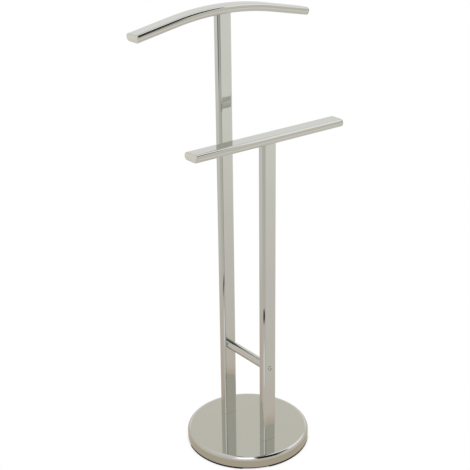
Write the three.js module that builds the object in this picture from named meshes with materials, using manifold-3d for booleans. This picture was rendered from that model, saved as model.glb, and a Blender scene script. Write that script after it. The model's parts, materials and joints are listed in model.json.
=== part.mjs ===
// Chromed steel valet stand: a round weighted base, a tall post that carries a bent jacket hanger,
// a short post that carries a straight trouser bar, and a round cross bar between the two posts.
// Millimetres, +Z up. The origin is on the floor, under the centre of the base.
// X runs along both bars, the short post stands at -Y (the front) and the tall post at +Y (the back).

import * as THREE from "three";
import { mergeVertices } from "three/addons/utils/BufferGeometryUtils.js";
import Module from "manifold-3d";

const wasm = await Module();
wasm.setup();

// ---- Driving dimensions ----

const TOTAL_HEIGHT = 1070;
const GAP = 0.3; // left between pieces that touch

const BASE_RADIUS = 151;
const PAD_HEIGHT = 4; // the rubber pads lift the base off the floor
const SHELL_HEIGHT = 26;
const SHELL_WALL = 1.2;
const SHELL_EDGE_RADIUS = 9;
const BASE_TOP = PAD_HEIGHT + SHELL_HEIGHT;

const POST_WIDTH = 38; // along X
const POST_DEPTH = 21; // along Y
const POST_CORNER = 6.5;
const POST_WALL = 1.2;
const POST_SPACING = 156; // between the two posts' axes

const BAR_WIDTH = 45; // both bars share one flat-oval tube
const BAR_HEIGHT = 18;
const BAR_WALL = 1.2;
const TROUSER_BAR_LENGTH = 415; // over its end caps
const TROUSER_BAR_AXIS = 800; // height of its centre line

const HANGER_SPAN = 475; // over its end caps, on the centre line
const HANGER_RADIUS = 690; // of the bend's centre line
const HANGER_SLOPE = THREE.MathUtils.degToRad(11); // of the straight arms, down from level
const HANGER_STEPS = 24;

const CAP_FACE = 4; // thickness outside the tube
const CAP_BEVEL = 1.2;
const CAP_BEVEL_STEPS = 2;
const CAP_SPIGOT = 14; // depth inside the tube
const CAP_SPIGOT_WALL = 2;

const CROSS_BAR_RADIUS = 11;
const CROSS_BAR_WALL = 1.2;
const CROSS_BAR_AXIS = 229;
const INSERT_LENGTH = 16;

const WEIGHT_RADIUS = 140;
const WEIGHT_WEB = 5; // thickness of the weight's middle
const WEIGHT_RIM = 14; // width of its deeper rim

const PLATE_RADIUS = 148.8;
const PLATE_THICKNESS = 1.5;
const ACCESS_HOLE_RADIUS = 13; // lets a socket spanner reach each post bolt

const PAD_COUNT = 4;
const PAD_OUTER = 150.5;
const PAD_INNER = 138;
const PAD_GAP = THREE.MathUtils.degToRad(25); // open arc between neighbouring pads
const FIRST_PAD_GAP = THREE.MathUtils.degToRad(239); // direction of the first open arc's middle

const M8 = { shank: 4, headAcross: 13, headHeight: 5.3, washerRadius: 8, washerThickness: 1.6 };
const M6 = { shank: 3, headRadius: 5.75, headHeight: 3.4, socketAcross: 4, socketDepth: 2 };
const M4 = { shank: 2, headRadius: 3.8, headHeight: 2.3, headRound: 0.8, length: 10 };
const M4_RECESS = { length: 4.6, width: 0.9, depth: 1.2 }; // cross recess

const FOOT_BLOCK_HEIGHT = 14; // threaded block welded inside the foot of each post
const PLATE_SCREW_CIRCLE = 133; // under the weight's rim, inside the pads
const BOLT_STOPS_SHORT = 2; // of the block's top
const SCREW_STOPS_SHORT = 3; // of the insert's inner end

const CORNER_STEPS = 5;
const SMALL_STEPS = 16; // around holes and small screws
const ROUND_STEPS = 24;
const BASE_STEPS = 64;
const PAD_STEPS = 14; // along one pad
const CUT_PAST = 1; // how far a cutting tool runs past the face that it cuts

// ---- Heights that follow from them ----

const SHELL_INSIDE_TOP = BASE_TOP - SHELL_WALL;
const PLATE_TOP = PAD_HEIGHT + PLATE_THICKNESS;
const WEIGHT_TOP = SHELL_INSIDE_TOP - GAP;
const WEIGHT_BOTTOM = PLATE_TOP + GAP;
const WEB_BOTTOM = WEIGHT_TOP - WEIGHT_WEB;
const POST_FOOT = BASE_TOP + GAP;
const HANGER_AXIS = TOTAL_HEIGHT - BAR_HEIGHT / 2;
const HANGER_INSIDE_RADIUS = HANGER_RADIUS - BAR_HEIGHT / 2;
const HANGER_SEAT_DROP =
  HANGER_INSIDE_RADIUS - Math.sqrt(HANGER_INSIDE_RADIUS ** 2 - (POST_WIDTH / 2) ** 2);
const TALL_POST_TOP = HANGER_AXIS - BAR_HEIGHT / 2 - HANGER_SEAT_DROP - GAP;
const SHORT_POST_TOP = TROUSER_BAR_AXIS - BAR_HEIGHT / 2 - GAP;

// ---- Finishes ----

const CHROME = { color: 0xc6c7bf, roughness: 0.07, metalness: 1 };
const CAP_CHROME = { color: 0xcfc9b8, roughness: 0.2, metalness: 1 };
const ZINC = { color: 0xa9abad, roughness: 0.35, metalness: 1 };
const IRON = { color: 0x4a4a4b, roughness: 0.8, metalness: 0.6 };
const RUBBER = { color: 0x141414, roughness: 0.85, metalness: 0 };

// ---- Shape helpers ----

function solidOf(geometry) {
  const bare = geometry.index ? geometry.toNonIndexed() : geometry.clone();
  bare.deleteAttribute("normal");
  bare.deleteAttribute("uv");
  const merged = mergeVertices(bare, 1e-4);
  const vertProperties = new Float32Array(merged.attributes.position.array);
  const triVerts = new Uint32Array(merged.index.array);
  return new wasm.Manifold(new wasm.Mesh({ numProp: 3, vertProperties, triVerts }));
}

function geometryOf(solid) {
  const mesh = solid.getMesh();
  const geometry = new THREE.BufferGeometry();
  geometry.setAttribute("position", new THREE.BufferAttribute(mesh.vertProperties, 3));
  geometry.setIndex(new THREE.BufferAttribute(mesh.triVerts, 1));
  const flat = geometry.toNonIndexed();
  flat.computeVertexNormals();
  return flat;
}

function join(...geometries) {
  return geometryOf(geometries.map(solidOf).reduce((sum, next) => sum.add(next)));
}

function cut(geometry, tools) {
  return geometryOf(tools.map(solidOf).reduce((left, tool) => left.subtract(tool), solidOf(geometry)));
}

// Corner points of a rectangle with round corners, anticlockwise. A radius of half the depth
// makes a flat oval.
function roundedOutline(width, depth, radius) {
  const points = [];
  for (let quarter = 0; quarter < 4; quarter++) {
    const right = quarter === 0 || quarter === 3 ? 1 : -1;
    const back = quarter < 2 ? 1 : -1;
    for (let step = 0; step <= CORNER_STEPS; step++) {
      const angle = ((quarter + step / CORNER_STEPS) * Math.PI) / 2;
      const x = right * (width / 2 - radius) + radius * Math.cos(angle);
      const y = back * (depth / 2 - radius) + radius * Math.sin(angle);
      points.push(new THREE.Vector2(x, y));
    }
  }
  return points.filter((point, i) => point.distanceTo(points[(i + 1) % points.length]) > 1e-6);
}

function tubeSection(width, depth, radius, wall) {
  const section = new THREE.Shape(roundedOutline(width, depth, radius));
  const inside = roundedOutline(width - 2 * wall, depth - 2 * wall, radius - wall);
  section.holes.push(new THREE.Path(inside));
  return section;
}

function prism(shape, length) {
  return new THREE.ExtrudeGeometry(shape, { depth: length, bevelEnabled: false });
}

// A solid of revolution about Z from its profile of [radius, height] pairs, anticlockwise.
function turned(profile, steps = ROUND_STEPS) {
  const points = profile.map(([radius, height]) => new THREE.Vector2(radius, height));
  return new THREE.LatheGeometry(points, steps).rotateX(Math.PI / 2);
}

// A round rod along Z between two heights.
function rod(radius, bottom, top, steps = ROUND_STEPS) {
  return turned([[0, bottom], [radius, bottom], [radius, top], [0, top]], steps);
}

// A round tube along Z between two heights.
function roundTube(outer, inner, bottom, top) {
  const profile = [[inner, bottom], [outer, bottom], [outer, top], [inner, top], [inner, bottom]];
  return turned(profile);
}

// A regular hexagonal rod along Z, measured across its flats.
function hexRod(across, bottom, top) {
  return rod(across / Math.sqrt(3), bottom, top, 6);
}

function piece(name, geometry, finish) {
  const mesh = new THREE.Mesh(geometry, new THREE.MeshStandardMaterial(finish));
  mesh.name = name;
  return mesh;
}

// Turns a piece made along Z so that its Z points outward and its Y points up.
function aim(mesh, outward, up, position) {
  const sideways = new THREE.Vector3().crossVectors(up, outward);
  mesh.quaternion.setFromRotationMatrix(new THREE.Matrix4().makeBasis(sideways, up, outward));
  mesh.position.copy(position);
  return mesh;
}

// ---- Base ----

function baseCover() {
  const arc = (radius, step) => {
    const angle = (step / CORNER_STEPS) * (Math.PI / 2);
    const middle = BASE_RADIUS - SHELL_EDGE_RADIUS;
    const height = BASE_TOP - SHELL_EDGE_RADIUS;
    return [middle + radius * Math.cos(angle), height + radius * Math.sin(angle)];
  };
  const steps = [...Array(CORNER_STEPS + 1).keys()];
  const inside = steps.map((step) => arc(SHELL_EDGE_RADIUS - SHELL_WALL, step)).reverse();
  const outside = steps.map((step) => arc(SHELL_EDGE_RADIUS, step));
  const profile = [
    [0, SHELL_INSIDE_TOP],
    ...inside,
    [BASE_RADIUS - SHELL_WALL, PAD_HEIGHT],
    [BASE_RADIUS, PAD_HEIGHT],
    ...outside,
    [0, BASE_TOP],
  ];
  return cut(turned(profile, BASE_STEPS), postBoltHoles(M8.shank + GAP));
}

function postBoltHoles(radius) {
  return [-1, 1].map((side) => {
    const hole = rod(radius, 0, BASE_TOP + CUT_PAST);
    return hole.translate(0, (side * POST_SPACING) / 2, 0);
  });
}

function plateScrewPlaces() {
  return [1, 3, 5, 7].map((eighth) => {
    const angle = (eighth * Math.PI) / 4;
    const x = PLATE_SCREW_CIRCLE * Math.cos(angle);
    return new THREE.Vector3(x, PLATE_SCREW_CIRCLE * Math.sin(angle), 0);
  });
}

function baseWeight() {
  const rimInside = WEIGHT_RADIUS - WEIGHT_RIM;
  const profile = [
    [0, WEB_BOTTOM],
    [rimInside, WEB_BOTTOM],
    [rimInside, WEIGHT_BOTTOM],
    [WEIGHT_RADIUS, WEIGHT_BOTTOM],
    [WEIGHT_RADIUS, WEIGHT_TOP],
    [0, WEIGHT_TOP],
  ];
  const screwHoles = plateScrewPlaces().map((place) => {
    const hole = rod(M4.shank + GAP, 0, PAD_HEIGHT + M4.length + CUT_PAST, SMALL_STEPS);
    return hole.translate(place.x, place.y, 0);
  });
  return cut(turned(profile, BASE_STEPS), [...postBoltHoles(M8.shank + GAP), ...screwHoles]);
}

function bottomPlate() {
  const screwHoles = plateScrewPlaces().map((place) => {
    return rod(M4.shank + GAP, 0, BASE_TOP, SMALL_STEPS).translate(place.x, place.y, 0);
  });
  const plate = rod(PLATE_RADIUS, PAD_HEIGHT, PLATE_TOP, BASE_STEPS);
  return cut(plate, [...postBoltHoles(ACCESS_HOLE_RADIUS), ...screwHoles]);
}

function basePad() {
  const sweep = (2 * Math.PI) / PAD_COUNT - PAD_GAP;
  const edge = (radius) =>
    [...Array(PAD_STEPS + 1).keys()].map((step) => {
      const angle = (step / PAD_STEPS) * sweep;
      return new THREE.Vector2(radius * Math.cos(angle), radius * Math.sin(angle));
    });
  const outline = [...edge(PAD_OUTER), ...edge(PAD_INNER).reverse()];
  return prism(new THREE.Shape(outline), PAD_HEIGHT - GAP);
}

function plateScrew() {
  const headTop = PAD_HEIGHT - GAP;
  const headBottom = headTop - M4.headHeight;
  const tip = PAD_HEIGHT + M4.length;
  const profile = [
    [0, headBottom],
    [M4.headRadius - M4.headRound, headBottom],
    [M4.headRadius, headBottom + M4.headRound],
    [M4.headRadius, headTop],
    [M4.shank, headTop],
    [M4.shank, tip],
    [0, tip],
  ];
  const screw = turned(profile, SMALL_STEPS);
  const slots = [0, Math.PI / 2].map((turn) => {
    const slot = new THREE.BoxGeometry(M4_RECESS.length, M4_RECESS.width, 2 * M4_RECESS.depth);
    return slot.rotateZ(turn).translate(0, 0, headBottom);
  });
  return cut(screw, slots);
}

function postBolt() {
  const headTop = WEB_BOTTOM - GAP - M8.washerThickness - GAP;
  const head = hexRod(M8.headAcross, headTop - M8.headHeight, headTop);
  const tip = POST_FOOT + FOOT_BLOCK_HEIGHT - BOLT_STOPS_SHORT;
  return join(head, rod(M8.shank, headTop - CUT_PAST, tip));
}

function postWasher() {
  const top = WEB_BOTTOM - GAP;
  return roundTube(M8.washerRadius, M8.shank + GAP, top - M8.washerThickness, top);
}

// ---- Posts ----

function post(top) {
  const section = tubeSection(POST_WIDTH, POST_DEPTH, POST_CORNER, POST_WALL);
  const tube = prism(section, top - POST_FOOT).translate(0, 0, POST_FOOT);
  const hole = rod(M6.shank + GAP, -POST_DEPTH, POST_DEPTH);
  hole.rotateX(Math.PI / 2).translate(0, 0, CROSS_BAR_AXIS);
  return cut(tube, [hole]);
}

function footBlock() {
  const margin = 2 * (POST_WALL + GAP);
  const radius = POST_CORNER - POST_WALL - GAP;
  const outline = roundedOutline(POST_WIDTH - margin, POST_DEPTH - margin, radius);
  const block = prism(new THREE.Shape(outline), FOOT_BLOCK_HEIGHT).translate(0, 0, POST_FOOT);
  return cut(block, [rod(M8.shank + GAP, 0, POST_FOOT + FOOT_BLOCK_HEIGHT + CUT_PAST)]);
}

// One post with what is fixed at its foot, on the post's own axis.
function postAssembly(name, top, y) {
  const assembly = new THREE.Group();
  assembly.add(piece(name, post(top), CHROME));
  assembly.add(piece(name + "_foot_block", footBlock(), ZINC));
  assembly.add(piece(name + "_bolt", postBolt(), ZINC));
  assembly.add(piece(name + "_washer", postWasher(), ZINC));
  assembly.position.y = y;
  return assembly;
}

// ---- Cross bar ----

const CROSS_BAR_HALF = POST_SPACING / 2 - POST_DEPTH / 2 - GAP;

function crossBar() {
  const inner = CROSS_BAR_RADIUS - CROSS_BAR_WALL;
  return roundTube(CROSS_BAR_RADIUS, inner, -CROSS_BAR_HALF, CROSS_BAR_HALF);
}

// Threaded insert welded in one end of the cross bar, made along Z with its face at z = 0.
function crossBarInsert() {
  const outer = CROSS_BAR_RADIUS - CROSS_BAR_WALL - GAP;
  return roundTube(outer, M6.shank + GAP, -INSERT_LENGTH, 0);
}

// Button-head screw, made along Z with the underside of its head at z = 0.
function crossBarScrew() {
  const dome = [...Array(CORNER_STEPS + 1).keys()].map((step) => {
    const angle = (step / CORNER_STEPS) * (Math.PI / 2);
    return [M6.headRadius * Math.cos(angle), M6.headHeight * Math.sin(angle)];
  });
  const length = POST_DEPTH + 2 * GAP + INSERT_LENGTH - SCREW_STOPS_SHORT;
  const screw = turned([[0, -length], [M6.shank, -length], [M6.shank, 0], ...dome]);
  const socketFloor = M6.headHeight - M6.socketDepth;
  const socket = hexRod(M6.socketAcross, socketFloor, M6.headHeight + CUT_PAST);
  return cut(screw, [socket]);
}

function crossBarAssembly() {
  const assembly = new THREE.Group();
  const bar = piece("cross_bar", crossBar(), CHROME);
  bar.rotation.x = Math.PI / 2;
  assembly.add(bar);
  const up = new THREE.Vector3(0, 0, 1);
  for (const [end, side] of [["front", -1], ["rear", 1]]) {
    const outward = new THREE.Vector3(0, side, 0);
    const insertFace = outward.clone().multiplyScalar(CROSS_BAR_HALF);
    const headSeat = outward.clone().multiplyScalar(POST_SPACING / 2 + POST_DEPTH / 2 + GAP);
    const insert = piece("cross_bar_insert_" + end, crossBarInsert(), ZINC);
    const screw = piece("cross_bar_screw_" + end, crossBarScrew(), CHROME);
    assembly.add(aim(insert, outward, up, insertFace));
    assembly.add(aim(screw, outward, up, headSeat));
  }
  assembly.position.z = CROSS_BAR_AXIS;
  return assembly;
}

// ---- Bars ----

// Plug for a bar's end, made along Z: the tube ends at z = 0 and the face stands outside it.
function endCap() {
  const outline = (margin) =>
    new THREE.Shape(
      roundedOutline(BAR_WIDTH - 2 * margin, BAR_HEIGHT - 2 * margin, BAR_HEIGHT / 2 - margin),
    );
  const face = new THREE.ExtrudeGeometry(outline(CAP_BEVEL), {
    depth: CAP_FACE - GAP - 2 * CAP_BEVEL,
    bevelThickness: CAP_BEVEL,
    bevelSize: CAP_BEVEL,
    bevelSegments: CAP_BEVEL_STEPS,
  });
  face.translate(0, 0, GAP + CAP_BEVEL);
  const spigot = prism(outline(BAR_WALL + GAP), CAP_SPIGOT + CAP_FACE / 2);
  spigot.translate(0, 0, -CAP_SPIGOT);
  const hollow = prism(outline(BAR_WALL + GAP + CAP_SPIGOT_WALL), CAP_SPIGOT + CUT_PAST);
  hollow.translate(0, 0, -CAP_SPIGOT - CUT_PAST);
  return cut(join(face, spigot), [hollow]);
}

function trouserBar() {
  const length = TROUSER_BAR_LENGTH - 2 * CAP_FACE;
  const section = tubeSection(BAR_WIDTH, BAR_HEIGHT, BAR_HEIGHT / 2, BAR_WALL);
  return prism(section, length).translate(0, 0, -length / 2);
}

function trouserBarAssembly() {
  const assembly = new THREE.Group();
  const up = new THREE.Vector3(0, 0, 1);
  const along = new THREE.Vector3(1, 0, 0);
  const middle = new THREE.Vector3();
  assembly.add(aim(piece("trouser_bar", trouserBar(), CHROME), along, up, middle));
  for (const [end, side] of [["left", -1], ["right", 1]]) {
    const outward = along.clone().multiplyScalar(side);
    const tubeEnd = outward.clone().multiplyScalar(TROUSER_BAR_LENGTH / 2 - CAP_FACE);
    const cap = piece("trouser_bar_end_cap_" + end, endCap(), CAP_CHROME);
    assembly.add(aim(cap, outward, up, tubeEnd));
  }
  assembly.position.set(0, -POST_SPACING / 2, TROUSER_BAR_AXIS);
  return assembly;
}

// Centre line of the hanger's tube in the XZ plane: an arc in the middle with straight arms that
// run on from it, downwards. The crest is at the origin.
class HangerCurve extends THREE.Curve {
  constructor() {
    super();
    this.halfArc = HANGER_RADIUS * HANGER_SLOPE;
    const reach = HANGER_SPAN / 2 - HANGER_RADIUS * Math.sin(HANGER_SLOPE);
    this.half = this.halfArc + reach / Math.cos(HANGER_SLOPE) - CAP_FACE;
  }

  getPoint(t, target = new THREE.Vector3()) {
    const along = (2 * t - 1) * this.half;
    const side = Math.sign(along);
    const bend = Math.min(Math.abs(along), this.halfArc) / HANGER_RADIUS;
    const arm = Math.max(Math.abs(along) - this.halfArc, 0);
    const x = HANGER_RADIUS * Math.sin(bend) + arm * Math.cos(HANGER_SLOPE);
    const drop = HANGER_RADIUS * (1 - Math.cos(bend)) + arm * Math.sin(HANGER_SLOPE);
    return target.set(side * x, 0, -drop);
  }
}

// The swept section's first axis lies across the tube (Y) and its second one in the XZ plane.
function hangerBar(curve) {
  const section = tubeSection(BAR_WIDTH, BAR_HEIGHT, BAR_HEIGHT / 2, BAR_WALL);
  return new THREE.ExtrudeGeometry(section, { steps: HANGER_STEPS, extrudePath: curve });
}

function hangerAssembly() {
  const assembly = new THREE.Group();
  const curve = new HangerCurve();
  assembly.add(piece("hanger_bar", hangerBar(curve), CHROME));
  for (const [end, side] of [["left", -1], ["right", 1]]) {
    const outward = new THREE.Vector3(side * Math.cos(HANGER_SLOPE), 0, -Math.sin(HANGER_SLOPE));
    const up = new THREE.Vector3(side * Math.sin(HANGER_SLOPE), 0, Math.cos(HANGER_SLOPE));
    const tubeEnd = curve.getPoint((side + 1) / 2);
    const cap = piece("hanger_end_cap_" + end, endCap(), CAP_CHROME);
    assembly.add(aim(cap, outward, up, tubeEnd));
  }
  assembly.position.set(0, POST_SPACING / 2, HANGER_AXIS);
  return assembly;
}

function baseAssembly() {
  const assembly = new THREE.Group();
  assembly.add(piece("base_cover", baseCover(), CHROME));
  assembly.add(piece("base_weight", baseWeight(), IRON));
  assembly.add(piece("base_bottom_plate", bottomPlate(), ZINC));
  for (let i = 0; i < PAD_COUNT; i++) {
    const pad = piece("base_pad_" + (i + 1), basePad(), RUBBER);
    pad.rotation.z = FIRST_PAD_GAP + PAD_GAP / 2 + (i * 2 * Math.PI) / PAD_COUNT;
    assembly.add(pad);
  }
  plateScrewPlaces().forEach((place, i) => {
    const screw = piece("bottom_plate_screw_" + (i + 1), plateScrew(), ZINC);
    screw.position.copy(place);
    assembly.add(screw);
  });
  return assembly;
}

// ---- The whole stand ----

const stand = new THREE.Group();
stand.add(baseAssembly());
stand.add(postAssembly("tall_post", TALL_POST_TOP, POST_SPACING / 2));
stand.add(postAssembly("short_post", SHORT_POST_TOP, -POST_SPACING / 2));
stand.add(crossBarAssembly());
stand.add(hangerAssembly());
stand.add(trouserBarAssembly());

export default stand;
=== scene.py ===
"""Looks for a chromed valet stand: a round base, a tall post with a bent hanger, a short post with a
straight trouser bar, and a cross bar between the posts. Metres, +Z up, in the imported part's frame.
The short post is at -Y and the tall post at +Y; both bars run along X."""

import json
import math

import bmesh
import bpy
from mathutils import Matrix, Vector


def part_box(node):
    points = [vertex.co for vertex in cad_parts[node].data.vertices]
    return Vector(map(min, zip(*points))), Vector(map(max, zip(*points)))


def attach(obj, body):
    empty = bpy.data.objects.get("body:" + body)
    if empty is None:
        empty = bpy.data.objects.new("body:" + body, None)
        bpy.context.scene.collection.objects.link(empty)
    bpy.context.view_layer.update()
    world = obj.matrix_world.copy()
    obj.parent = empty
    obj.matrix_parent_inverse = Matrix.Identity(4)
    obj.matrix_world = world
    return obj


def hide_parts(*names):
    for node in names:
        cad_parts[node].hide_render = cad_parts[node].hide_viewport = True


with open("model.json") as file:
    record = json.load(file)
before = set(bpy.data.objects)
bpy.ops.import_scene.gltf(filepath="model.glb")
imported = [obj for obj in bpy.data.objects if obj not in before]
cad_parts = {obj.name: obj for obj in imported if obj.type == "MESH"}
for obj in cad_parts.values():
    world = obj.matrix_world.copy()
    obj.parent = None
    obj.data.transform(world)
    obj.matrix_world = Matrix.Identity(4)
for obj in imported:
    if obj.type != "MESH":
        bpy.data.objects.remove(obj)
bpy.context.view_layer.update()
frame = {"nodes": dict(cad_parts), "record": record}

MM = 0.001
SHARP = math.radians(40)  # edges that turn further than this are shaded as sharp
SUPPORT = 0.3 * MM  # distance from a round corner to the points that keep the next flat truly flat

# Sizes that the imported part's boxes don't give. All but PAD_OUTER are the part's own: the shown pads
# reach 0.4 mm further out, almost flush with the shell.
POST_CORNER = 6.5 * MM
TUBE_WALL = 1.2 * MM
BAR_WIDTH = 45 * MM
BAR_HEIGHT = 18 * MM
HANGER_RADIUS = 690 * MM
HANGER_SLOPE = math.radians(11)
CAP_FACE = 4 * MM
SHELL_EDGE_RADIUS = 9 * MM
PLATE_ACCESS_RADIUS = 13 * MM
PAD_OUTER = 150.9 * MM
PAD_INNER = 138 * MM
PAD_SWEEP = math.radians(65)
FIRST_PAD_START = math.radians(251.5)
SOCKET_ACROSS = 4 * MM
SOCKET_DEPTH = 2 * MM

# The camera, at the photograph's viewing angle: azimuth from the front, lens and sensor in mm.
CAMERA_AZIMUTH = math.radians(37.59)
CAMERA_PITCH = math.radians(22.72)
CAMERA_ROLL = math.radians(-0.76)
CAMERA_SIDEWAYS = -25.94 * MM
CAMERA_HEIGHT = 546.46 * MM
CAMERA_DISTANCE = 2454.3 * MM
CAMERA_LENS = 80.5481
CAMERA_SENSOR = 36


# ---- Node helpers ----


def add_node(tree, kind, **settings):
    """A new node. Settings that name an input socket (with _ for a space) set its default value."""
    node = tree.nodes.new(kind)
    for name, value in settings.items():
        if hasattr(node, name):
            setattr(node, name, value)
        else:
            node.inputs[name.replace("_", " ")].default_value = value
    return node


def joined(tree, source, target, socket=0):
    """Links an output socket to one of a node's inputs, and gives back the node's first output."""
    tree.links.new(source, target.inputs[socket])
    return target.outputs[0]


def ramp(tree, value, span, stops):
    """Colours along a value: stops are (value, (red, green, blue)) pairs from 0 to span."""
    scaled = joined(tree, value, add_node(tree, "ShaderNodeMath", operation="DIVIDE"))
    scaled.node.inputs[1].default_value = span
    node = add_node(tree, "ShaderNodeValToRGB")
    elements = node.color_ramp.elements
    while len(elements) > 1:
        elements.remove(elements[-1])
    for index, (at, colour) in enumerate(stops):
        element = elements[0] if index == 0 else elements.new(at / span)
        element.position = at / span
        element.color = (*colour, 1)
    tree.links.new(scaled, node.inputs[0])
    return node.outputs[0]


def grey_ramp(tree, value, span, stops):
    return ramp(tree, value, span, [(at, (level, level, level)) for at, level in stops])


def mixed(tree, factor, first, second):
    """A colour between two: each is an output socket or a (red, green, blue)."""
    node = add_node(tree, "ShaderNodeMix", data_type="RGBA")
    for source, socket in ((factor, 0), (first, 6), (second, 7)):
        if isinstance(source, bpy.types.NodeSocket):
            tree.links.new(source, node.inputs[socket])
        else:
            node.inputs[socket].default_value = (*source, 1)
    return node.outputs[2]


def product(tree, first, second):
    node = add_node(tree, "ShaderNodeMath", operation="MULTIPLY")
    tree.links.new(first, node.inputs[0])
    tree.links.new(second, node.inputs[1])
    return node.outputs[0]


def spot(tree, direction, azimuth, elevation, radius, softness):
    """1 inside a cone about a direction given in degrees, 0 outside it, with a soft edge."""
    a, e = math.radians(azimuth), math.radians(elevation)
    dot = add_node(tree, "ShaderNodeVectorMath", operation="DOT_PRODUCT")
    dot.inputs[1].default_value = (math.cos(a) * math.cos(e), math.sin(a) * math.cos(e), math.sin(e))
    tree.links.new(direction, dot.inputs[0])
    edge = add_node(tree, "ShaderNodeMapRange", interpolation_type="SMOOTHSTEP", clamp=True)
    edge.inputs[1].default_value = math.cos(math.radians(radius + softness))
    edge.inputs[2].default_value = math.cos(math.radians(radius - softness))
    tree.links.new(dot.outputs["Value"], edge.inputs[0])
    return edge.outputs[0]


# ---- Finishes ----


def new_finish(name):
    """A material with a bare Principled shader: (material, its tree, the shader)."""
    material = bpy.data.materials.new(name)
    material.use_nodes = True
    tree = material.node_tree
    tree.nodes.clear()
    shader = add_node(tree, "ShaderNodeBsdfPrincipled")
    output = add_node(tree, "ShaderNodeOutputMaterial")
    tree.links.new(shader.outputs[0], output.inputs[0])
    return material, tree, shader


def noise(tree, scale, detail=3.0, roughness=0.5, stretch=(1, 1, 1)):
    """Noise over the piece's own coordinates; scale is in features per metre."""
    place = add_node(tree, "ShaderNodeTexCoord").outputs["Object"]
    mapping = add_node(tree, "ShaderNodeMapping")
    mapping.inputs["Scale"].default_value = stretch
    tree.links.new(place, mapping.inputs[0])
    texture = add_node(tree, "ShaderNodeTexNoise", Scale=scale, Detail=detail, Roughness=roughness)
    tree.links.new(mapping.outputs[0], texture.inputs["Vector"])
    return texture.outputs[0]


def bump(tree, shader, layers):
    """Stacks bumps on a shader: layers are (height socket, height in metres)."""
    normal = None
    for height, distance in layers:
        node = add_node(tree, "ShaderNodeBump", Strength=1.0, Distance=distance)
        tree.links.new(height, node.inputs["Height"])
        if normal is not None:
            tree.links.new(normal, node.inputs["Normal"])
        normal = node.outputs[0]
    tree.links.new(normal, shader.inputs["Normal"])


def chrome_finish():
    """Bright chrome plate: near mirror, with faint smudges, polishing lines and a slow waviness."""
    material, tree, shader = new_finish("bright_chrome")
    shader.inputs["Metallic"].default_value = 1.0
    tint = mixed(tree, noise(tree, 9, 4), (0.615, 0.62, 0.592), (0.645, 0.65, 0.628))
    tree.links.new(tint, shader.inputs["Base Color"])
    smudge = grey_ramp(tree, noise(tree, 34, 7, 0.62), 1, [(0.35, 0.03), (0.55, 0.04), (0.72, 0.085)])
    lines = grey_ramp(tree, noise(tree, 900, 2, 0.5, (1, 1, 0.02)), 1, [(0.3, 0.0), (0.8, 0.02)])
    total = joined(tree, smudge, add_node(tree, "ShaderNodeMath", operation="ADD"))
    tree.links.new(lines, total.node.inputs[1])
    tree.links.new(total, shader.inputs["Roughness"])
    bump(tree, shader, [(noise(tree, 22, 1), 9e-6), (noise(tree, 160, 2), 5e-7)])
    return material


def cap_finish():
    """Chromed moulding: the same plate with a softer, slightly creamy polish."""
    material, tree, shader = new_finish("satin_chrome")
    shader.inputs["Metallic"].default_value = 1.0
    tint = mixed(tree, noise(tree, 60, 4), (0.73, 0.715, 0.655), (0.77, 0.76, 0.705))
    tree.links.new(tint, shader.inputs["Base Color"])
    polish = grey_ramp(tree, noise(tree, 180, 5, 0.6), 1, [(0.3, 0.20), (0.7, 0.32)])
    tree.links.new(polish, shader.inputs["Roughness"])
    bump(tree, shader, [(noise(tree, 120, 2), 6e-6), (noise(tree, 2200, 2), 6e-7)])
    return material


def zinc_finish():
    """Bright zinc plate: bluish grey, cloudy, with fine rolling marks."""
    material, tree, shader = new_finish("zinc_plate")
    shader.inputs["Metallic"].default_value = 1.0
    cloud = ramp(
        tree,
        noise(tree, 55, 6, 0.65),
        1,
        [(0.30, (0.50, 0.51, 0.53)), (0.50, (0.60, 0.61, 0.63)), (0.72, (0.68, 0.67, 0.62))],
    )
    tree.links.new(cloud, shader.inputs["Base Color"])
    dull = grey_ramp(tree, noise(tree, 90, 6, 0.6), 1, [(0.3, 0.26), (0.7, 0.46)])
    tree.links.new(dull, shader.inputs["Roughness"])
    rolling = noise(tree, 1400, 3, 0.6, (0.04, 1, 1))
    bump(tree, shader, [(noise(tree, 260, 4), 8e-6), (rolling, 3e-6)])
    return material


def iron_finish():
    """Raw sand-cast iron: dark, rough and pitted, with a little rust bloom."""
    material, tree, shader = new_finish("cast_iron")
    shader.inputs["Metallic"].default_value = 0.7
    tone = ramp(
        tree,
        noise(tree, 130, 8, 0.7),
        1,
        [(0.30, (0.045, 0.044, 0.043)), (0.55, (0.085, 0.082, 0.078)), (0.78, (0.13, 0.085, 0.06))],
    )
    tree.links.new(tone, shader.inputs["Base Color"])
    rough = grey_ramp(tree, noise(tree, 300, 5), 1, [(0.3, 0.55), (0.7, 0.85)])
    tree.links.new(rough, shader.inputs["Roughness"])
    bump(tree, shader, [(noise(tree, 900, 6, 0.7), 2.2e-4)])
    return material


def rubber_finish():
    """Black moulded rubber with a fine grain and a dusty bloom."""
    material, tree, shader = new_finish("pad_rubber")
    tone = mixed(tree, noise(tree, 70, 6, 0.65), (0.004, 0.004, 0.004), (0.016, 0.015, 0.014))
    tree.links.new(tone, shader.inputs["Base Color"])
    shader.inputs["Specular IOR Level"].default_value = 0.12
    matt = grey_ramp(tree, noise(tree, 400, 4), 1, [(0.3, 0.62), (0.7, 0.82)])
    tree.links.new(matt, shader.inputs["Roughness"])
    bump(tree, shader, [(noise(tree, 2600, 3), 3e-5)])
    return material


FINISHES = {
    "chrome": chrome_finish(),
    "cap_chrome": cap_finish(),
    "zinc_steel": zinc_finish(),
    "ballast_iron": iron_finish(),
    "pad_rubber": rubber_finish(),
}


# ---- Mesh helpers ----


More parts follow.
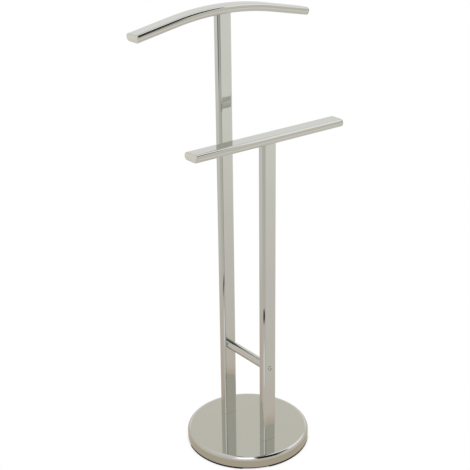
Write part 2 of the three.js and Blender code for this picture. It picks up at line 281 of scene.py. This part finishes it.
def add_object(name, skin, place=None):
    """An object from (vertices, faces), moved by a matrix, with its faces turned outwards."""
    mesh = bpy.data.meshes.new(name)
    mesh.from_pydata([tuple(v) for v in skin[0]], [], skin[1])
    if place is not None:
        mesh.transform(place)
    shape = bmesh.new()
    shape.from_mesh(mesh)
    bmesh.ops.recalc_face_normals(shape, faces=shape.faces)
    shape.to_mesh(mesh)
    shape.free()
    obj = bpy.data.objects.new(name, mesh)
    bpy.context.scene.collection.objects.link(obj)
    return obj


def smooth(mesh):
    mesh.shade_smooth()
    mesh.set_sharp_from_angle(angle=SHARP)


def add_piece(name, skin, slot, nodes, place=None):
    """Makes one shown piece; it rides on the root and stands for CAD nodes."""
    obj = add_object(name, skin, place)
    smooth(obj.data)
    obj.data.materials.append(FINISHES[slot])
    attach(obj, "root")
    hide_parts(*nodes)
    return obj


def loft(rings, closed=False):
    """A skin through rings of as many points each. Its ends are filled, or joined if it's closed."""
    count = len(rings[0])
    vertices = [point for ring in rings for point in ring]
    faces = []
    for i in range(len(rings) if closed else len(rings) - 1):
        a, b = i * count, ((i + 1) % len(rings)) * count
        for k in range(count):
            n = (k + 1) % count
            faces.append((a + k, a + n, b + n, b + k))
    if not closed:
        faces.append(tuple(range(count)))
        faces.append(tuple(range(len(vertices) - count, len(vertices))))
    return vertices, faces


def rounded_section(width, depth, radius, inset=0.0, steps=12):
    """Points round a rectangle with round corners, anticlockwise, drawn in by inset."""
    flat_x, flat_y = width / 2 - radius, depth / 2 - radius
    points = []
    for quarter in range(4):
        x = flat_x if quarter in (0, 3) else -flat_x
        y = flat_y if quarter < 2 else -flat_y
        before, after = (flat_y, flat_x) if quarter % 2 == 0 else (flat_x, flat_y)
        start, end = quarter * math.pi / 2, (quarter + 1) * math.pi / 2
        if before > SUPPORT:
            points.append(arc_point(x, y, radius - inset, start, -SUPPORT))
        turns = [start + (end - start) * i / steps for i in range(steps + 1)]
        points += [arc_point(x, y, radius - inset, turn) for turn in turns]
        if after > SUPPORT:
            points.append(arc_point(x, y, radius - inset, end, SUPPORT))
    return points


def arc_point(x, y, radius, angle, past=0.0):
    """A point on an arc about (x, y), moved along the arc's tangent by past."""
    c, s = math.cos(angle), math.sin(angle)
    return Vector((x + radius * c - past * s, y + radius * s + past * c))


def rounded_end(end, inward, radius=0.4 * MM, steps=4):
    """(inset, height) pairs over the round outer edge of a tube's end, from its face to its side."""
    turns = [i * math.pi / 2 / steps for i in range(steps + 1)]
    pairs = [(radius * (1 - math.sin(t)), end + inward * radius * (1 - math.cos(t))) for t in turns]
    return pairs + [(0.0, end + inward * (radius + SUPPORT))]


def circle(radius, height, steps, turn=0.0):
    angles = [turn + 2 * math.pi * i / steps for i in range(steps)]
    return [Vector((radius * math.cos(a), radius * math.sin(a), height)) for a in angles]


def turned_skin(profile, steps, closed=False):
    """A solid of revolution about Z from (radius, height) pairs."""
    return loft([circle(radius, height, steps) for radius, height in profile], closed)


def box_of(node):
    """(centre, size, lowest corner, highest corner) of a CAD node."""
    low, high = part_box(node)
    return (low + high) / 2, high - low, low, high


# ---- Base ----


def base_shell():
    """Pressed steel shell: flat top, round edge, straight skirt with its lower edge rolled in."""
    centre, size, low, high = box_of("base_cover")
    radius, edge, wall = size.x / 2, SHELL_EDGE_RADIUS, 1.2 * MM
    top, foot, roll = high.z, low.z, 0.6 * MM
    steps = 20
    arc = [i * math.pi / 2 / steps for i in range(steps + 1)]
    outside = [(radius - roll * (1 - math.sin(t)), foot + roll * (1 - math.cos(t))) for t in arc[::4]]
    outside += [(radius, foot + roll + SUPPORT), (radius, top - edge - SUPPORT)]
    outside += [(radius - edge * (1 - math.cos(t)), top - edge * (1 - math.sin(t))) for t in arc]
    flat = radius - edge
    outside += [(flat - SUPPORT, top), (flat * 0.7, top), (flat * 0.35, top), (4 * MM, top)]
    inner = edge - wall
    inside = [(4 * MM, top - wall), (flat - SUPPORT, top - wall)]
    inside += [(flat + inner * math.sin(t), top - edge + inner * math.cos(t)) for t in arc[::2]]
    inside += [(radius - wall, foot + roll), (radius - wall + 0.3 * MM, foot)]
    cut = len(outside)
    skin = turned_skin((outside + inside)[cut:] + outside, 256)
    add_piece("base_shell", skin, "chrome", ["base_cover"], Matrix.Translation((centre.x, centre.y, 0)))


def base_plate():
    """Closing plate: a disc with a shallow pressed ring, access holes for the bolts and screw holes."""
    _, size, low, high = box_of("base_bottom_plate")
    radius = size.x / 2
    profile = [(1 * MM, high.z), (1 * MM, low.z)]
    for ring, depth in ((78, 0), (80, 0.15), (82, 0.5), (86, 0.5), (88, 0.15), (90, 0)):
        profile.append((ring * MM, low.z + depth * MM))
    profile += [(radius - 0.4 * MM, low.z), (radius, low.z + 0.4 * MM), (radius, high.z)]
    skin = turned_skin(profile, 192, closed=True)
    plate = add_piece("closing_plate", skin, "zinc_steel", ["base_bottom_plate"])
    holes = []
    for node in ("tall_post_bolt", "short_post_bolt"):
        holes.append((box_of(node)[0], PLATE_ACCESS_RADIUS, 64))
    for i in range(1, 5):
        holes.append((box_of("bottom_plate_screw_" + str(i))[0], 2.3 * MM, 32))
    for place, hole_radius, steps in holes:
        skin = loft([circle(hole_radius, height, steps) for height in (-0.01, 0.02)])
        cutter = add_object("cutter", skin, Matrix.Translation((place.x, place.y, 0)))
        modifier = plate.modifiers.new("hole", "BOOLEAN")
        modifier.operation = "DIFFERENCE"
        modifier.solver = "EXACT"
        modifier.object = cutter
        bpy.context.view_layer.update()
        evaluated = plate.evaluated_get(bpy.context.evaluated_depsgraph_get())
        cut = bpy.data.meshes.new_from_object(evaluated)
        plate.modifiers.clear()
        plate.data = cut
        bpy.data.objects.remove(cutter)
    smooth(plate.data)


def rubber_pads():
    """Arc-shaped pads with round edges and ends, standing on the floor."""
    for i in range(4):
        node = "base_pad_" + str(i + 1)
        low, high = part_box(node)
        height = high.z - low.z
        middle, width = (PAD_OUTER + PAD_INNER) / 2, PAD_OUTER - PAD_INNER
        edge, most_inset = 0.3 * MM, 0.25 * MM
        start = FIRST_PAD_START + i * math.pi / 2
        rings = []
        ends = [(0.9, 0.0), (0.45, 0.12), (0.15, 0.40), (0.0, 0.9)]
        sweep = [(inset * MM, along * MM / middle) for inset, along in ends]
        body = [(0.0, PAD_SWEEP * step / 48) for step in range(1, 48)]
        closing = [(inset, PAD_SWEEP - along) for inset, along in reversed(sweep)]
        for inset, turn in sweep + body + closing:
            ring = []
            for point in rounded_section(width, height, edge, min(inset, most_inset), 4):
                r, a = middle + point.x, start + turn
                ring.append(Vector((r * math.cos(a), r * math.sin(a), low.z + height / 2 + point.y)))
            rings.append(ring)
        add_piece("rubber_pad_" + str(i + 1), loft(rings), "pad_rubber", [node])


def pan_screw(name, node, slot):
    """Pan-head screw pointing up, with a cross recess pressed into its head from below."""
    centre, size, low, high = box_of(node)
    head, shank = size.x / 2, 2 * MM
    under = low.z + 2.3 * MM
    turns = [math.radians(a) for a in (90, 78, 64, 50, 36)]
    dome = [(head * math.sin(t), under - 2.3 * MM * (0.35 + 0.65 * math.cos(t))) for t in turns]
    steps = 48
    rings = [circle(shank, high.z, steps), circle(shank, under, steps), circle(head, under, steps)]
    rings += [circle(radius, height, steps) for radius, height in dome]
    rings.append(cross_ring(1.9 * MM, 0.5 * MM, low.z, steps))
    rings.append(cross_ring(1.2 * MM, 0.25 * MM, low.z + 1.2 * MM, steps))
    add_piece(name, loft(rings), slot, [node], Matrix.Translation((centre.x, centre.y, 0)))


def cross_ring(reach, half, height, steps):
    """Points of a plus-shaped outline, one for each direction of a circle of points."""
    ring = []
    for i in range(steps):
        a = 2 * math.pi * i / steps
        c, s = math.cos(a), math.sin(a)
        along, aside = max(abs(c), abs(s)), min(abs(c), abs(s))
        radius = min(reach / along, half / max(aside, 1e-9))
        radius = max(radius, half * math.sqrt(2) if aside > 0.6 else 0.0)
        ring.append(Vector((radius * c, radius * s, height)))
    return ring


# ---- Posts ----


def post_tube(name, node, underside):
    """Rectangular tube with round corners. A small weld fillet flares its top out to the bar."""
    centre, size = box_of(node)[:2]
    shell_top = box_of("base_cover")[3].z
    foot = shell_top + 0.05 * MM
    fillet, steps = 1.1 * MM, 6
    turns = [i * math.pi / 2 / steps for i in range(steps + 1)]
    outside = rounded_end(foot, 1, 0.35 * MM)
    foot_rings = len(outside)
    outside += [(0.0, -fillet - SUPPORT)]
    outside += [(-fillet * (1 - math.cos(t)), fillet * (math.sin(t) - 1)) for t in turns]
    inside = [(TUBE_WALL, 0.0), (TUBE_WALL, foot)]
    rings = []
    for index, (inset, height) in enumerate(outside + inside):
        # Rings at the foot are flat. The others follow the underside of the bar above.
        fixed = index < foot_rings or index == len(outside) + 1
        ring = []
        for point in rounded_section(size.x, size.y, POST_CORNER, inset):
            z = height if fixed else height + underside(point.x) + 0.05 * MM
            ring.append(Vector((point.x + centre.x, point.y + centre.y, z)))
        rings.append(ring)
    add_piece(name, loft(rings, closed=True), "chrome", [node])


# ---- Cross bar and its screws ----


def cross_bar():
    centre, size = box_of("cross_bar")[:2]
    half = size.y / 2 + 0.28 * MM
    radius, steps = size.x / 2, 4
    turns = [i * math.pi / 2 / steps for i in range(steps + 1)]
    edge = 0.5 * MM
    end = [(radius - edge * (1 - math.sin(t)), half - edge * (1 - math.cos(t))) for t in turns]
    end += [(radius, half - edge - SUPPORT)]
    profile = [(r, -h) for r, h in end] + [(r, h) for r, h in reversed(end)]
    profile += [(radius - TUBE_WALL, half), (radius - TUBE_WALL, -half)]
    place = Matrix.Translation(centre) @ Matrix.Rotation(math.pi / 2, 4, "X")
    add_piece("cross_bar_tube", turned_skin(profile, 96, closed=True), "chrome", ["cross_bar"], place)


def button_screw(name, node, side):
    """Button-head screw: a domed head with a rounded rim and a hexagon socket, on a plain shank."""
    centre, size, low, high = box_of(node)
    head, tall, shank = size.x / 2, 3.4 * MM, 3 * MM
    outer = low.y if side < 0 else high.y
    seat = outer - side * tall
    steps = 48
    rim, end = 0.6 * MM, math.radians(62)
    dome = [(head - 0.3 * MM, 0.0), (head, 0.35 * MM), (head, rim)]
    for step in range(1, 9):
        t = step / 9 * end
        dome.append((head * math.cos(t), rim + (tall - rim) * math.sin(t) / math.sin(end)))
    rings = [circle(shank, -size.y + tall, steps), circle(shank, 0.0, steps)]
    rings += [circle(radius, height, steps) for radius, height in dome]
    rings.append(circle(SOCKET_ACROSS / 2 * 1.32, tall, steps))
    rings.append(hex_ring(SOCKET_ACROSS * 1.06, tall - 0.05 * MM, steps))
    rings.append(hex_ring(SOCKET_ACROSS, tall - 0.25 * MM, steps))
    rings.append(hex_ring(SOCKET_ACROSS, tall - SOCKET_DEPTH, steps))
    turn = Matrix.Rotation(math.radians(90 if side < 0 else -90), 4, "X")
    add_piece(name, loft(rings), "chrome", [node], Matrix.Translation((centre.x, seat, centre.z)) @ turn)


def hex_ring(across, height, steps):
    """Points of a hexagon, one for each direction of a circle of points."""
    ring = []
    for i in range(steps):
        a = 2 * math.pi * i / steps
        within = (a + math.pi / 6) % (math.pi / 3) - math.pi / 6
        radius = across / 2 / math.cos(within)
        ring.append(Vector((radius * math.cos(a), radius * math.sin(a), height)))
    return ring


# ---- Bars and their end caps ----


def bar_section(inset=0.0, steps=20):
    return rounded_section(BAR_WIDTH, BAR_HEIGHT, BAR_HEIGHT / 2, inset, steps)


def swept_tube(stations, frame_at):
    """A tube wall of the bars' section along a path: frame_at gives (point, up) at a station."""
    first, last = stations[0], stations[-1]
    outside = rounded_end(first, 1, 0.35 * MM)
    outside += [(0.0, s) for s in stations[1:-1]]
    outside += list(reversed(rounded_end(last, -1, 0.35 * MM)))
    inside = [(TUBE_WALL, s) for s in reversed(stations)]
    rings = []
    for inset, station in outside + inside:
        point, up = frame_at(station)
        rings.append([point + Vector((0, p.x, 0)) + up * p.y for p in bar_section(inset)])
    return loft(rings, closed=True)


def end_cap(name, node, position, outward, up):
    """Plug: a domed face with a round edge outside the tube and a hollow spigot inside it."""
    edge, dome, seam, gap = 1.6 * MM, 0.7 * MM, 0.25 * MM, 0.15 * MM
    side = CAP_FACE - dome - edge
    turns = [math.radians(a) for a in (0, 12, 24, 36, 48, 60, 72)]
    pairs = [(3.5 * MM, gap), (3.5 * MM, -14 * MM), (1.6 * MM, -14 * MM), (1.6 * MM, gap)]
    pairs += [(seam + 0.35 * MM, gap), (0.5 * seam, gap + 0.1 * MM), (0.0, gap + 0.35 * MM), (0.0, side)]
    pairs += [(edge * (1 - math.cos(t)), side + edge * math.sin(t)) for t in turns[1:]]
    inset, height = pairs[-1]
    crown = CAP_FACE - height
    for share in (0.15, 0.32, 0.5, 0.68, 0.84, 0.95):
        reach = inset + (8.6 * MM - inset) * share
        pairs.append((reach, height + crown * math.sin(share * math.pi / 2)))
    across = up.cross(outward)
    rings = [[position + across * p.x + up * p.y + outward * z for p in bar_section(d)] for d, z in pairs]
    add_piece(name, loft(rings), "cap_chrome", [node])


def trouser_bar():
    centre, _, low, high = box_of("trouser_bar")

    def frame_at(x):
        return Vector((x, centre.y, centre.z)), Vector((0, 0, 1))

    count = 10
    stations = [low.x + (high.x - low.x) * i / count for i in range(count + 1)]
    add_piece("trouser_bar_tube", swept_tube(stations, frame_at), "chrome", ["trouser_bar"])
    for end, side in (("left", -1), ("right", 1)):
        tip = Vector((low.x if side < 0 else high.x, centre.y, centre.z))
        node = "trouser_bar_end_cap_" + end
        end_cap("trouser_plug_" + end, node, tip, Vector((side, 0, 0)), Vector((0, 0, 1)))


def hanger_frame(crest):
    """Gives the function from a distance along the hanger's centre line to (point, up) there."""
    half_arc = HANGER_RADIUS * HANGER_SLOPE

    def at(along):
        side = math.copysign(1, along)
        bend = min(abs(along), half_arc) / HANGER_RADIUS
        arm = max(abs(along) - half_arc, 0)
        x = HANGER_RADIUS * math.sin(bend) + arm * math.cos(HANGER_SLOPE)
        drop = HANGER_RADIUS * (1 - math.cos(bend)) + arm * math.sin(HANGER_SLOPE)
        up = Vector((side * math.sin(bend), 0, math.cos(bend)))
        return crest + Vector((side * x, 0, -drop)), up

    return at


def hanger():
    centre, _, low, high = box_of("hanger_bar")
    crest = Vector((centre.x, centre.y, high.z - BAR_HEIGHT / 2))
    frame_at = hanger_frame(crest)
    half_arc = HANGER_RADIUS * HANGER_SLOPE
    # The tube's lower end corner is its lowest point, so the box's lowest corner gives its length.
    tilt = BAR_HEIGHT / 2 * math.cos(HANGER_SLOPE)
    fall = crest.z - tilt - low.z - HANGER_RADIUS * (1 - math.cos(HANGER_SLOPE))
    half = half_arc + fall / math.sin(HANGER_SLOPE)
    arm = [half_arc + (half - half_arc) * share for share in (0.03, 0.2, 0.4, 0.6, 0.8, 1.0)]
    arc = [half_arc * (2 * i / 80 - 1) for i in range(81)]
    stations = [-s for s in reversed(arm)] + arc + arm
    add_piece("hanger_tube", swept_tube(stations, frame_at), "chrome", ["hanger_bar"])
    for end, side in (("left", -1), ("right", 1)):
        tip, up = frame_at(side * half)
        outward = Vector((side * math.cos(HANGER_SLOPE), 0, -math.sin(HANGER_SLOPE)))
        end_cap("hanger_plug_" + end, "hanger_end_cap_" + end, tip, outward, up)
    inside = HANGER_RADIUS - BAR_HEIGHT / 2
    bottom = crest.z - BAR_HEIGHT / 2
    return lambda x: bottom - (inside - math.sqrt(inside * inside - x * x))


# ---- The stand ----


def build_stand():
    base_shell()
    base_plate()
    rubber_pads()
    for i in range(1, 5):
        pan_screw("plate_screw_" + str(i), "bottom_plate_screw_" + str(i), "zinc_steel")
    hanger_underside = hanger()
    trouser_bar()
    trouser_bottom = box_of("trouser_bar")[2].z
    post_tube("tall_post_tube", "tall_post", hanger_underside)
    post_tube("short_post_tube", "short_post", lambda x: trouser_bottom)
    cross_bar()
    button_screw("cross_bar_button_front", "cross_bar_screw_front", -1)
    button_screw("cross_bar_button_rear", "cross_bar_screw_rear", 1)


def paint_carried_nodes():
    """The CAD nodes that stay shown take the finish of their slot in the record."""
    for part in frame["record"]["subparts"]:
        node = frame["nodes"][part["node"]]
        if node.hide_render:
            continue
        node.data.materials.clear()
        node.data.materials.append(FINISHES[part["material_slot"]])
        smooth(node.data)


# ---- Studio ----

# The room and the floor marks are invented. They were placed and coloured so that their
# reflections suit the main view, so they say nothing about a real studio.

# Bright soft boxes that only reflections see: (azimuth, elevation, radius, softness, colour), degrees.
SOFT_BOXES = [
    (3, 55, 24, 5, (1.12, 1.12, 1.10)),
    (222, 42, 17, 3, (1.2, 1.2, 1.24)),
    (229, 70, 13, 2, (2.3, 2.35, 2.55)),
]
DARK = (0.02, 0.02, 0.022)

# Round patches on the studio's floor that only the chrome sees: (place, radius, colour).
# The bright one in front of the base is a painted pool of light; the two dark ones far out stand for dark
# things on the floor.
FLOOR_PATCHES_AND_LIGHT_POOL = [
    ((-0.35, -0.36, 0), 0.14, (0.97, 0.97, 0.99)),
    ((-5.50, -0.10, 0), 2.30, (0.20, 0.20, 0.20)),
    ((-0.75, -5.30, 0), 1.90, (0.40, 0.40, 0.38)),
]


def studio_world():
    """White to the camera. In reflections, a pale room with soft boxes and dark openings."""
    world = bpy.data.worlds.new("studio")
    world.use_nodes = True
    tree = world.node_tree
    tree.nodes.clear()
    direction = add_node(tree, "ShaderNodeTexCoord").outputs["Generated"]
    height = joined(tree, direction, add_node(tree, "ShaderNodeSeparateXYZ"))
    up = height.node.outputs["Z"]
    near_walls = ramp(
        tree,
        up,
        1,
        [
            (0.0, (0.68, 0.63, 0.56)),
            (0.25, (0.74, 0.71, 0.65)),
            (0.62, (0.745, 0.72, 0.65)),
            (1.0, (0.86, 0.86, 0.86)),
        ],
    )
    far_wall = ramp(
        tree,
        up,
        1,
        [
            (0.0, (0.80, 0.79, 0.77)),
            (0.2, (0.86, 0.86, 0.85)),
            (0.47, (0.98, 0.98, 0.97)),
            (0.52, (0.75, 0.73, 0.66)),
            (0.62, (0.745, 0.72, 0.65)),
            (1.0, (0.86, 0.86, 0.86)),
        ],
    )
    room = mixed(tree, spot(tree, direction, 50, 10, 30, 10), near_walls, far_wall)
    for azimuth, elevation, radius, softness, colour in SOFT_BOXES:
        room = mixed(tree, spot(tree, direction, azimuth, elevation, radius, softness), room, colour)
    # A dark opening: between two upright planes, and between two heights.
    doorway = grey_ramp(tree, up, 1, [(0.55, 0.0), (0.6, 1.0), (0.95, 1.0), (0.965, 0.0)])
    for azimuth in (213, 341):
        doorway = product(tree, doorway, spot(tree, direction, azimuth, 0, 90, 1))
    room = mixed(tree, doorway, room, DARK)
    # A dark patch high up beside it.
    room = mixed(tree, spot(tree, direction, 326, 68, 18, 1), room, DARK)
    seen = add_node(tree, "ShaderNodeLightPath").outputs["Is Camera Ray"]
    colour = mixed(tree, seen, room, (1.0, 1.0, 1.0))
    background = add_node(tree, "ShaderNodeBackground")
    tree.links.new(colour, background.inputs[0])
    output = add_node(tree, "ShaderNodeOutputWorld")
    tree.links.new(background.outputs[0], output.inputs[0])
    bpy.context.scene.world = world


def floor_colour_in_reflections(tree):
    """What the chrome sees of the floor, which glows: warm, and dimmer near the base as painted shade of
    the base, paler further out.
    """
    position = add_node(tree, "ShaderNodeNewGeometry").outputs["Position"]
    length = add_node(tree, "ShaderNodeVectorMath", operation="LENGTH")
    tree.links.new(position, length.inputs[0])
    distance = length.outputs["Value"]
    # Painted shade of the base: the glow stays dim out to 0.19 m, just past the base's edge, and
    # brightens beyond.
    plain = ramp(
        tree,
        distance,
        5,
        [
            (0.0, (0.54, 0.475, 0.375)),
            (0.19, (0.57, 0.50, 0.40)),
            (0.24, (0.70, 0.635, 0.575)),
            (0.5, (0.733, 0.71, 0.643)),
            (0.95, (0.755, 0.725, 0.69)),
            (1.5, (0.808, 0.785, 0.72)),
            (2.6, (0.866, 0.869, 0.805)),
            (5.0, (0.88, 0.882, 0.83)),
        ],
    )
    left = ramp(
        tree,
        distance,
        5,
        [
            (0.0, (0.57, 0.49, 0.40)),
            (0.19, (0.60, 0.51, 0.43)),
            (0.38, (0.656, 0.56, 0.50)),
            (0.8, (0.70, 0.65, 0.59)),
            (1.27, (0.745, 0.735, 0.69)),
            (4.3, (0.84, 0.84, 0.81)),
        ],
    )
    facing = ramp(
        tree,
        distance,
        5,
        [
            (0.3, (0.70, 0.66, 0.60)),
            (0.8, (0.66, 0.64, 0.59)),
            (2.5, (0.62, 0.615, 0.57)),
            (4.2, (0.58, 0.58, 0.54)),
        ],
    )
    away = add_node(tree, "ShaderNodeVectorMath", operation="NORMALIZE")
    tree.links.new(position, away.inputs[0])
    colour = mixed(tree, spot(tree, away.outputs[0], 118, 0, 40, 12), plain, left)
    beyond_base = grey_ramp(tree, distance, 5, [(0.20, 0.0), (0.27, 1.0)])
    towards_camera = product(tree, beyond_base, spot(tree, away.outputs[0], 222, 0, 66, 9))
    colour = mixed(tree, towards_camera, colour, facing)
    # A dark strip on the floor, curved about a point near the short post.
    from_post = add_node(tree, "ShaderNodeVectorMath", operation="DISTANCE")
    tree.links.new(position, from_post.inputs[0])
    from_post.inputs[1].default_value = (0, -0.08, 0)
    reach = from_post.outputs["Value"]
    strip = grey_ramp(tree, reach, 5, [(0.69, 0.0), (0.715, 1.0), (0.775, 1.0), (0.80, 0.0)])
    strip = product(tree, strip, spot(tree, away.outputs[0], 225, 0, 32, 3))
    colour = mixed(tree, strip, colour, (0.03, 0.03, 0.035))
    # Round floor patches; the bright one is a painted pool of light.
    for place, radius, shade in FLOOR_PATCHES_AND_LIGHT_POOL:
        apart = add_node(tree, "ShaderNodeVectorMath", operation="DISTANCE")
        tree.links.new(position, apart.inputs[0])
        apart.inputs[1].default_value = place
        inside = add_node(tree, "ShaderNodeMapRange", clamp=True)
        inside.inputs[1].default_value = radius
        inside.inputs[2].default_value = 0.85 * radius
        tree.links.new(apart.outputs["Value"], inside.inputs[0])
        colour = mixed(tree, inside.outputs[0], colour, shade)
    return colour


def studio_floor():
    """Plain pale floor that glows. It shows white with a dark, narrow painted contact shadow, and tinted
    in reflections.
    """
    rings = [circle(radius, 0.0, 128) for radius in (14, 2, 0.5, 0.02)]
    vertices, faces = loft(rings)
    mesh = bpy.data.meshes.new("studio_floor")
    mesh.from_pydata(vertices, [], faces[:-2] + faces[-1:])
    material = bpy.data.materials.new("pale_floor")
    material.use_nodes = True
    tree = material.node_tree
    tree.nodes.clear()
    # Painted contact shadow: ambient occlusion darkens the floor's glow in a narrow line next to the
    # base.
    occlusion_for_painted_shadow = add_node(tree, "ShaderNodeAmbientOcclusion", samples=16, Distance=0.012)
    contact = [(0.0, 0.02), (0.35, 0.1), (0.48, 0.45), (0.56, 0.85), (0.7, 0.97), (1.0, 1.0)]
    shade = grey_ramp(tree, occlusion_for_painted_shadow.outputs["AO"], 1, contact)
    seen = add_node(tree, "ShaderNodeLightPath").outputs["Is Camera Ray"]
    colour = mixed(tree, seen, floor_colour_in_reflections(tree), shade)
    glow = add_node(tree, "ShaderNodeEmission")
    tree.links.new(colour, glow.inputs[0])
    clear = add_node(tree, "ShaderNodeBsdfTransparent")
    sides = add_node(tree, "ShaderNodeMixShader")
    below = add_node(tree, "ShaderNodeNewGeometry").outputs["Backfacing"]
    tree.links.new(below, sides.inputs[0])
    tree.links.new(glow.outputs[0], sides.inputs[1])
    tree.links.new(clear.outputs[0], sides.inputs[2])
    output = add_node(tree, "ShaderNodeOutputMaterial")
    tree.links.new(sides.outputs[0], output.inputs[0])
    mesh.materials.append(material)
    floor = bpy.data.objects.new("studio_floor", mesh)
    bpy.context.scene.collection.objects.link(floor)


def camera():
    """The photograph's viewing angle: from the front left, looking down, with a slight roll."""
    toward = Vector((-math.sin(CAMERA_AZIMUTH), -math.cos(CAMERA_AZIMUTH), 0))
    back = toward * math.cos(CAMERA_PITCH) + Vector((0, 0, math.sin(CAMERA_PITCH)))
    right = Vector((math.cos(CAMERA_AZIMUTH), -math.sin(CAMERA_AZIMUTH), 0))
    up = back.cross(right)
    turned_right = right * math.cos(CAMERA_ROLL) + up * math.sin(CAMERA_ROLL)
    turned_up = up * math.cos(CAMERA_ROLL) - right * math.sin(CAMERA_ROLL)
    place = Vector((0, 0, CAMERA_HEIGHT)) + right * CAMERA_SIDEWAYS + back * CAMERA_DISTANCE
    data = bpy.data.cameras.new("camera")
    data.sensor_width = CAMERA_SENSOR
    data.lens = CAMERA_LENS
    data.clip_start = 0.05
    data.clip_end = 60
    obj = bpy.data.objects.new("camera", data)
    axes = Matrix((turned_right, turned_up, back)).transposed().to_4x4()
    obj.matrix_world = Matrix.Translation(place) @ axes
    bpy.context.scene.collection.objects.link(obj)
    bpy.context.scene.camera = obj


build_stand()
paint_carried_nodes()
studio_world()
studio_floor()
camera()
bpy.context.scene.view_settings.view_transform = "Standard"
